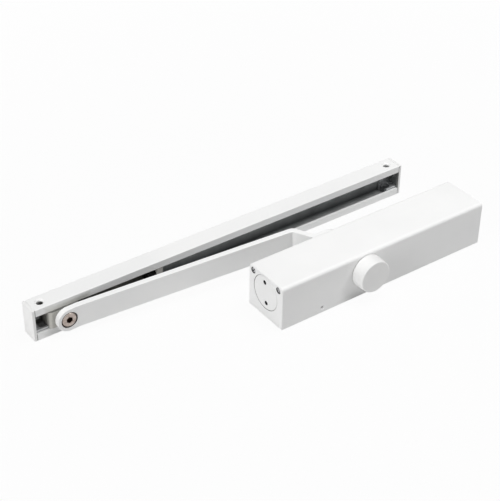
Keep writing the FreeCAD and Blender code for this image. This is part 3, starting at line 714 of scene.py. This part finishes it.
@dataclass
class ClosingDrive:
    """The spindle, piston, spring and power adjuster inside the body."""

    bore_height: float = 0.028
    wire_radius: float = 0.0026
    mean_radius: float = 0.013
    turns: float = 10.0
    closed_turns: float = 1.0
    steps_per_turn: int = 40
    wire_sides: int = 14
    still_share: float = 0.68

    def spring_line(self, rule: GeometryRule, shares: tuple[float, float]) -> Socket:
        """Draws part of the spring's centre line, with the end turns closed up.

        Args:
            rule: The rule that holds the sizes.
            shares: Where the part begins and ends, as shares of all the turns.

        Returns:
            The centre line.
        """
        sheet = rule.sheet
        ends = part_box("closing_spring")
        turns = rule.size("Turns", self.turns)
        closed = rule.size("Closed turns at each end", self.closed_turns)
        wire = rule.size("Wire radius", self.wire_radius)
        radius = rule.size("Mean radius", self.mean_radius)
        low = sheet.math("ADD", rule.size("Spring start", ends[0].x), wire)
        high = sheet.math("SUBTRACT", rule.size("Spring end", ends[1].x), wire)
        part = (rule.size("Part from", shares[0]), rule.size("Part to", shares[1]))
        count = int(self.turns * self.steps_per_turn * (shares[1] - shares[0]))
        line = sheet.add("GeometryNodeCurvePrimitiveLine").outputs[0]
        points = sheet.add("GeometryNodeResampleCurve", {"Curve": line, "Count": count}).outputs[0]
        along = sheet.spread(sheet.add("GeometryNodeSplineParameter").outputs["Factor"], UNIT, part)
        share = sheet.math("DIVIDE", closed, turns)
        rest = sheet.math("SUBTRACT", 1.0, share)
        closed_length = sheet.math("MULTIPLY", closed, sheet.math("MULTIPLY", wire, 2.0))
        both_closed = sheet.math("MULTIPLY", closed_length, 2.0)
        middle = sheet.math("SUBTRACT", sheet.math("SUBTRACT", high, low), both_closed)
        first = sheet.spread(along, (0.0, share), (0.0, closed_length))
        second = sheet.spread(along, (share, rest), (0.0, middle))
        third = sheet.spread(along, (rest, 1.0), (0.0, closed_length))
        x = sheet.math("ADD", low, sheet.math("ADD", first, sheet.math("ADD", second, third)))
        angle = sheet.math("MULTIPLY", along, sheet.math("MULTIPLY", turns, math.tau))
        y = sheet.math("MULTIPLY", radius, sheet.math("COSINE", angle))
        z = sheet.math("MULTIPLY", radius, sheet.math("SINE", angle))
        z = sheet.math("ADD", z, rule.size("Bore height", self.bore_height))
        place = sheet.add("ShaderNodeCombineXYZ", {"X": x, "Y": y, "Z": z}).outputs[0]
        return sheet.add("GeometryNodeSetPosition", {"Geometry": points, "Position": place}).outputs[0]

    def build_coil(self, name: str, shares: tuple[float, float]) -> None:
        """Winds part of the spring, which gives way as the body at its end moves.

        Args:
            name: The piece's name.
            shares: Where the part begins and ends, as shares of all the turns.
        """
        rule = GeometryRule(name)
        line = self.spring_line(rule, shares)
        section = {"Resolution": self.wire_sides, "Radius": rule.source.outputs["Wire radius"]}
        ring = rule.sheet.add("GeometryNodeCurvePrimitiveCircle", section).outputs[0]
        wire = {"Curve": line, "Profile Curve": ring, "Fill Caps": True}
        coil = rule.sheet.add("GeometryNodeCurveToMesh", wire).outputs[0]
        smooth = rule.sheet.add("GeometryNodeSetShadeSmooth", {"Geometry": coil}).outputs[0]
        spring = rule.run(smooth, material_of(SPRING_STEEL))
        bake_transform(spring)
        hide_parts("closing_spring")

    def build_spring(self) -> None:
        """Winds the spring in two parts that meet at a point that stays still."""
        still, thickness = self.still_share, 2 * self.wire_radius
        self.build_coil("closing_spring_piston_part", (0.0, still))
        self.build_coil("closing_spring_seat_part", (still, 1.0))

    def build(self) -> None:
        """Makes the spring and dresses the drive's nodes."""
        self.build_spring()
        dress(HARD_STEEL, "spindle", "check_ball")
        dress(TURNED_STEEL, "piston", "check_retainer", "spring_seat", "spring_adjuster", "closing_spring")


@dataclass
class SlideArm:
    """The coated arm with its hub screw and the pivot that carries the slider."""

    pivot: Triple = (-0.2878, 0.0805, 0.0175)
    recess_radius: float = 0.00865
    recess_start: float = 0.0005
    socket_radius: float = 0.0036
    socket_start: float = 0.0006
    ring_steps: int = 72
    ridge_count: int = 36
    ridge_sides: int = 3
    ridge_height: float = 0.00022
    ridge_margin: float = 0.0008

    def build_knurl(self) -> None:
        """Sets fine ridges round the hub screw's head, for the fingers."""
        low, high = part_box("arm_screw")
        radius = (high.x - low.x) / 2
        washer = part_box("arm_washer")[1].y
        start, end = washer + self.ridge_margin, high.y - self.ridge_margin
        middle = ((low.x + high.x) / 2, (start + end) / 2, (low.z + high.z) / 2)
        rule = GeometryRule("arm_screw_knurl")
        sheet = rule.sheet
        count = rule.size("Ridges", self.ridge_count)
        ridge = {"Vertices": self.ridge_sides, "Radius": rule.size("Ridge radius", self.ridge_height)}
        ridge["Depth"] = rule.size("Ridge length", end - start)
        bar = sheet.add("GeometryNodeMeshCylinder", ridge).outputs[0]
        rim = {"Resolution": self.ring_steps, "Radius": rule.size("Head radius", radius)}
        ring = sheet.add("GeometryNodeCurvePrimitiveCircle", rim).outputs[0]
        points = sheet.add("GeometryNodeCurveToPoints", {"Curve": ring, "Count": count}).outputs[0]
        index = sheet.add("GeometryNodeInputIndex").outputs[0]
        turn = sheet.math("MULTIPLY", sheet.math("DIVIDE", index, count), math.tau)
        angles = sheet.add("ShaderNodeCombineXYZ", {"Z": turn}).outputs[0]
        setting = {"Points": points, "Instance": bar, "Rotation": angles}
        ridges = sheet.add("GeometryNodeInstanceOnPoints", setting).outputs[0]
        place = {"Geometry": ridges, "Translation": middle, "Rotation": (math.pi / 2, 0.0, 0.0)}
        placed = sheet.add("GeometryNodeTransform", place).outputs[0]
        knurl = rule.run(placed, material_of(ZINC))
        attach(knurl, "arm_and_spindle")

    def build(self) -> None:
        """Makes the knurl and dresses the arm's nodes."""
        self.build_knurl()
        # Painted shade: near-black in the recess round the pivot screw's head.
        recess = Patch(PAINTED_RECESS_SHADE, (Bore(self.pivot, Axis.Y, self.recess_radius, self.recess_start),))
        # Painted shade in the pivot screw's hex socket.
        socket = Patch(PAINTED_SOCKET_SHADE, (Bore(self.pivot, Axis.Y, self.socket_radius, self.socket_start),))
        dress(replace(POWDER_COAT, name="powder_coat_arm", patches=(recess,)), "arm")
        dress(ZINC, "arm_washer", "arm_screw", "pivot_spacer")
        dress(replace(SCREW_STEEL, name="pivot_screw_steel", patches=(socket,)), "pivot_screw")
        # The pivot bush takes a dark copy of the bronze: painted shade in the recess.
        dress(BRONZE_PAINTED_SHADE, "pivot_bush")


@dataclass
class SlideRail:
    """The C-shaped rail with its end caps, brackets, slider and stop."""

    wall: float = 0.0025
    reach: float = 0.00006
    seam: float = 0.00032
    soft_fade: float = 0.004
    hole_inset: float = 0.013
    bracket_top: float = 0.0095
    sink_radius: float = 0.0053
    overspray_reach: float = 0.012
    overspray_depth: float = 0.0078
    corner_fade: float = 0.011
    slot_top: float = 0.0275
    lip_fade: float = 0.006
    lip_right: float = 0.014
    greased_edge: float = 0.0016

    def stop_middle(self) -> float:
        """Returns where the middle of the stop lies along X."""
        low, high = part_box("stop_block")
        return (low.x + high.x) / 2

    def hole_places(self) -> tuple[float, float]:
        """Returns where the fixing holes and the access holes above them lie along X."""
        left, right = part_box("rail_end_cap_left")[0].x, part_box("rail_end_cap_right")[1].x
        return left + self.hole_inset, right - self.hole_inset

    def inside(self) -> Box:
        """Finds the inside of the rail and of its end caps, which has no coat.

        Returns:
            The inside.
        """
        low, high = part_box("rail")
        inset = self.wall - self.reach
        return Box((low.x - self.seam, low.y + inset, low.z + inset),
                   (high.x + self.seam, high.y - inset, high.z - inset), self.reach / 2)

    def inside_up_to(self, x: float) -> Box:
        """Returns the inside from the left end to a place along X."""
        inside = self.inside()
        return replace(inside, high=(x, *inside.high[1:]))

    def floor(self) -> Box:
        """Finds the floor beyond the stop, where light is painted on, fading out towards the back wall.

        Returns:
            The floor with painted light.
        """
        low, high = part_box("rail")
        level, fade = low.z + self.wall, self.soft_fade
        return Box((self.stop_middle(), low.y, level - fade),
                   (high.x, high.y - self.wall, level + fade), fade)

    def corner(self) -> Box:
        """Finds the corner of floor and back wall beyond the stop, where shade is painted on and fades out.

        Returns:
            The corner with painted shade.
        """
        low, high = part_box("rail")
        fade = self.corner_fade
        return Box((self.stop_middle() - fade, high.y - self.wall - fade, low.z - fade),
                   (high.x + fade, high.y + fade, low.z + self.wall + fade), fade)

    def lip(self) -> Box:
        """Finds the lip above the slider, where shade is painted on and fades out towards the top edge.

        Returns:
            The stretch of the lip with painted shade.
        """
        low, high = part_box("rail")
        left, right = (corner.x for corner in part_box("slider"))
        fade = self.lip_fade
        return Box((left - fade, low.y - fade, self.slot_top - fade),
                   (right + self.lip_right, low.y + fade, high.z), fade)

    def slider_edge(self) -> Box:
        """Finds the slider's upper edge, which runs in grease.

        Returns:
            The greasy edge.
        """
        low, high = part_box("slider")
        wall = self.wall
        return Box((low.x - wall, low.y - wall, self.slot_top - self.greased_edge),
                   (high.x + wall, high.y + wall, high.z + wall))

    def sink(self) -> Bore:
        """Finds the countersunk fixing hole of the right bracket.

        Returns:
            The hole.
        """
        low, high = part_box("rail")
        centre = (self.hole_places()[1], (low.y + high.y) / 2, self.bracket_top)
        return Bore(centre, Axis.DOWN, self.sink_radius)

    def painted_shade_half(self) -> Box:
        """Finds the rear half of the left bracket, where shade is painted on.

        Returns:
            The half with painted shade.
        """
        low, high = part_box("rail_bracket_left")
        fade = self.soft_fade
        return Box((low.x - fade, (low.y + high.y) / 2, low.z - fade),
                   (high.x + fade, high.y + fade, high.z + fade), fade)

    def oversprays(self) -> tuple[Box, ...]:
        """Finds the places inside where coat has blown in through the access holes.

        Returns:
            One place under each hole.
        """
        inside, reach = self.inside(), self.overspray_reach
        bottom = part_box("rail")[1].z - self.overspray_depth
        return tuple(
            replace(inside, low=(x - reach, inside.low[1], bottom), high=(x + reach, *inside.high[1:]))
            for x in self.hole_places()
        )

    def seams(self) -> tuple[Box, ...]:
        """Finds the seams between the rail's front and its end caps.

        Returns:
            The two seams.
        """
        low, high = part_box("rail")
        seam, wall = self.seam, self.wall
        return tuple(
            Box((x - seam, low.y - wall, low.z - wall), (x + seam, low.y + wall, high.z - seam))
            for x in (low.x, high.x)
        )

    def build_channel(self) -> None:
        """Dresses the rail and its end caps."""
        coat = Patch(OVERSPRAY, self.oversprays())
        dust = Patch(SEAM_DUST, self.seams())
        patches = (
            # Painted shade on the upper lip above the slider.
            Patch(PAINTED_LIP_SHADE, (self.lip(),)),
            Patch(BARE_METAL, (self.inside(),)),
            # Painted shadow of the arm on the inside, left of the stop.
            Patch(PAINTED_TRACK_SHADOW, (self.inside_up_to(self.stop_middle()),)),
            # Painted shade, near-black, on the inside from the left end to the slider.
            Patch(PAINTED_DEEP_SHADE, (self.inside_up_to(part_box("slider")[0].x),)),
            # Painted light on the floor beyond the stop.
            Patch(PAINTED_FLOOR_LIGHT, (self.floor(),)),
            # Painted shade in the rear corner beyond the stop.
            Patch(PAINTED_CORNER_SHADE, (self.corner(),)),
            coat,
            dust,
        )
        dress(replace(POWDER_COAT, name="powder_coat_rail", patches=patches), "rail")
        shade = Patch(CAP_SHADE, (self.inside(),))
        cap_plastic = replace(WHITE_PLASTIC, name="end_cap_plastic", patches=(shade, coat, dust))
        dress(cap_plastic, "rail_end_cap_left", "rail_end_cap_right")

    def build(self) -> None:
        """Dresses the rail's nodes and what runs or sits in it."""
        self.build_channel()
        sink = Patch(SINK_SHADE, (self.sink(),))
        # Painted shade on the rear half of the left bracket.
        half_shade = Patch(PAINTED_DEEP_SHADE, (self.painted_shade_half(),))
        edge = Patch(EDGE_GREASE, (self.slider_edge(),))
        dress(replace(BRACKET_STEEL, patches=(sink,)), "rail_bracket_right")
        # The left bracket takes the lighter copy of the bracket steel: painted light.
        dress(replace(BRACKET_STEEL_PAINTED_LIGHT, patches=(half_shade,)), "rail_bracket_left")
        dress(SCREW_STEEL, "stop_clamp_screw")
        dress(replace(GREY_PLASTIC, patches=(edge,)), "slider")
        dress(STOP_PLASTIC, "stop_block")
        dress(BUFFER_RUBBER, "stop_buffer")


@dataclass(frozen=True)
class Lamp:
    """A soft square lamp that points at the object."""

    name: str
    place: Triple
    target: Triple
    side: float
    power: float

    def build(self) -> None:
        """Hangs the lamp."""
        data = bpy.data.lights.new(self.name, "AREA")
        data.shape, data.size, data.energy = "SQUARE", self.side, self.power
        lamp = add_object(self.name, data)
        lamp.location = self.place
        aim = Vector(self.target) - Vector(self.place)
        lamp.rotation_euler = aim.to_track_quat("-Z", "Y").to_euler()


@dataclass
class Studio:
    """The pale floor, the soft light and the camera."""

    floor_side: float = 8.0
    floor_drop: float = 0.0003
    floor_tone: Triple = (0.63, 0.63, 0.63)
    clear_share: float = 0.95
    fade_start: float = 0.3
    fade_end: float = 1.0
    sky_tone: Triple = (1.0, 1.0, 1.0)
    sky_strength: float = 0.13
    seen_strength: float = 1.0
    camera_place: Triple = (-0.71339, -0.78580, 0.77104)
    camera_turn: float = 35.964
    camera_tilt: float = 35.298
    camera_roll: float = 0.542
    camera_clip: tuple[float, float] = (0.05, 20.0)
    focal_pixels: float = 1323.1
    lamps: tuple[Lamp, ...] = (
        Lamp("overhead_lamp", place=(0.3, -0.12, 1.6), target=(-0.08, 0.03, 0.0), side=0.7, power=17.4),
        Lamp("front_lamp", place=(0.8, -1.0, 1.15), target=(-0.1, 0.05, 0.0), side=0.5, power=5.8),
        Lamp("left_lamp", place=(-2.4, -0.25, 0.9), target=(-0.15, 0.05, 0.02), side=1.3, power=36.0),
    )

    def seen_directly(self, sheet: NodeSheet) -> Socket:
        """Adds the light path test for rays from the camera, a gloss or a clear surface.

        Args:
            sheet: The sheet of the floor's material or of the world.

        Returns:
            The test, 1 for such a ray.
        """
        path = sheet.add("ShaderNodeLightPath").outputs
        glossy = sheet.math("MAXIMUM", path["Is Camera Ray"], path["Is Glossy Ray"])
        return sheet.math("MAXIMUM", glossy, path["Is Transmission Ray"])

    def floor_material(self) -> bpy.types.Material:
        """Makes the floor's finish, which lets the white sky and what hangs below the floor show.

        Returns:
            The material. It keeps a faint shadow near the object and throws none itself.
        """
        material = bpy.data.materials.new("pale_floor")
        sheet = empty_sheet(material)
        matt = sheet.add("ShaderNodeBsdfDiffuse", {"Color": colour(*self.floor_tone)}).outputs[0]
        clear = sheet.add("ShaderNodeBsdfTransparent").outputs[0]
        distance = sheet.vector("LENGTH", sheet.add("ShaderNodeTexCoord").outputs["Object"])
        clearness = sheet.spread(distance, (self.fade_start, self.fade_end), (self.clear_share, 1.0))
        share = sheet.math("MULTIPLY", self.seen_directly(sheet), clearness)
        shadow = sheet.add("ShaderNodeLightPath").outputs["Is Shadow Ray"]
        share = sheet.math("MAXIMUM", share, shadow)
        mixed = sheet.add("ShaderNodeMixShader", {0: share, 1: matt, 2: clear}).outputs[0]
        sheet.add("ShaderNodeOutputMaterial", {"Surface": mixed})
        return material

    def build_floor(self) -> None:
        """Lays the floor just below the object."""
        half = self.floor_side / 2
        sides = ((-half, -half), (half, -half), (half, half), (-half, half))
        mesh = bpy.data.meshes.new("floor")
        mesh.from_pydata([(x, y, -self.floor_drop) for x, y in sides], [], [(0, 1, 2, 3)])
        mesh.materials.append(self.floor_material())
        add_object("floor", mesh)

    def build_sky(self) -> None:
        """Lights the world softly and shows it white."""
        world = bpy.data.worlds.new("studio_sky")
        bpy.context.scene.world = world
        sheet = empty_sheet(world)
        strength = sheet.mix(Mix.FLOAT, self.seen_directly(sheet), self.sky_strength, self.seen_strength)
        sky = sheet.add("ShaderNodeBackground", {"Color": colour(*self.sky_tone), "Strength": strength})
        sheet.add("ShaderNodeOutputWorld", {"Surface": sky.outputs[0]})

    def build_camera(self) -> None:
        """Sets the camera at the photograph's angle and distance."""
        angles = (self.camera_turn, self.camera_tilt, self.camera_roll)
        turn, tilt, roll = (math.radians(angle) for angle in angles)
        ahead = math.cos(tilt)
        forward = Vector((math.sin(turn) * ahead, math.cos(turn) * ahead, -math.sin(tilt)))
        level = Vector((math.cos(turn), -math.sin(turn), 0.0))
        upright = level.cross(forward)
        right = math.cos(roll) * level + math.sin(roll) * upright
        up = math.cos(roll) * upright - math.sin(roll) * level
        data = bpy.data.cameras.new("camera")
        data.sensor_width = SENSOR
        data.lens = self.focal_pixels * SENSOR / IMAGE_HEIGHT
        data.clip_start, data.clip_end = self.camera_clip
        camera = add_object("camera", data)
        turned = Matrix((right, up, -forward)).transposed().to_4x4()
        camera.matrix_world = Matrix.Translation(self.camera_place) @ turned
        bpy.context.scene.camera = camera

    def build(self) -> None:
        """Sets up the floor, sky, lamps and camera."""
        bpy.context.scene.view_settings.view_transform = "Standard"
        self.build_floor()
        self.build_sky()
        for lamp in self.lamps:
            lamp.build()
        self.build_camera()


def main() -> None:
    """Builds the shared effects and each sub-assembly in order."""
    logging.basicConfig(level=logging.INFO, format="%(message)s")
    for make in (make_grain, make_smudge, make_box_region, make_round_region):
        make()
    for assembly in (Studio(), CloserBody(), ClosingDrive(), SlideArm(), SlideRail()):
        LOG.info("building %s", type(assembly).__name__)
        assembly.build()


if __name__ == "__main__":
    main()
